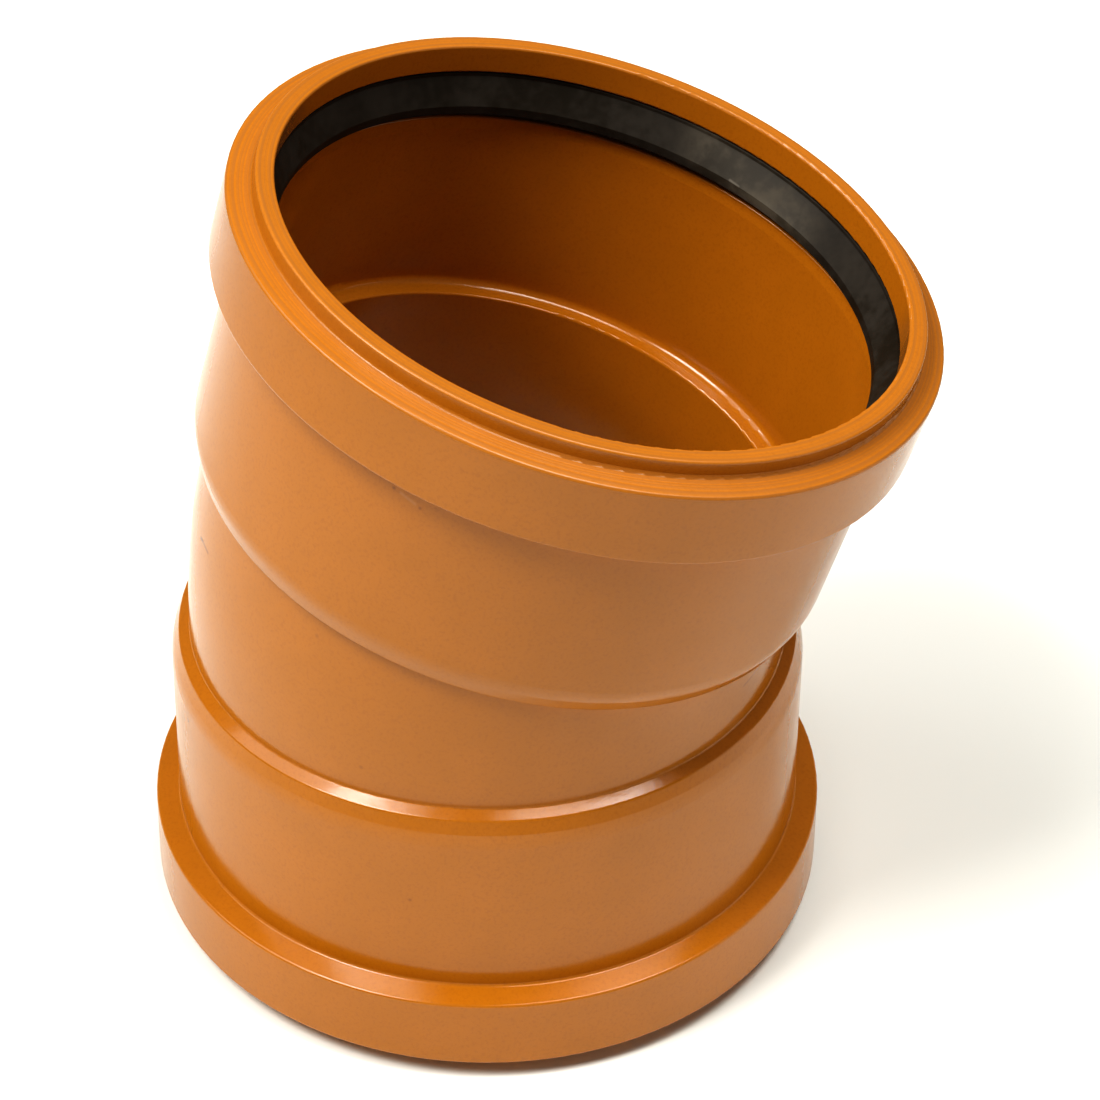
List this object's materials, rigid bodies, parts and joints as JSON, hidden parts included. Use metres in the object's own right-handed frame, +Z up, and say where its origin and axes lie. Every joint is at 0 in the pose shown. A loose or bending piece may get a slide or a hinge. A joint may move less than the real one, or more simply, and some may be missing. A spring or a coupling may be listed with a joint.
{
  "type": "double socket pipe bend",
  "caption": "Short orange-brown plastic drain pipe bend with a rubber-sealed push-fit socket at each end, joining plain pipe ends at a slight angle.",
  "frame": {"origin": "on the floor, under the middle of the bend's bounding box; the lower socket's axis is upright, 13.9 mm to the -X side of it", "axes": "+Z up along the lower socket's axis, +X the way the upper socket leans, and the XZ plane is the plane of symmetry"},
  "size_m": [0.259, 0.2312, 0.2844],
  "materials": {
    "orange_pvc": "satin",
    "black_rubber": "matt"
  },
  "bodies": {
    "root": {"bend_body": "orange_pvc", "seal_ring_lower": "black_rubber", "seal_ring_upper": "black_rubber"}
  },
  "joints": []
}
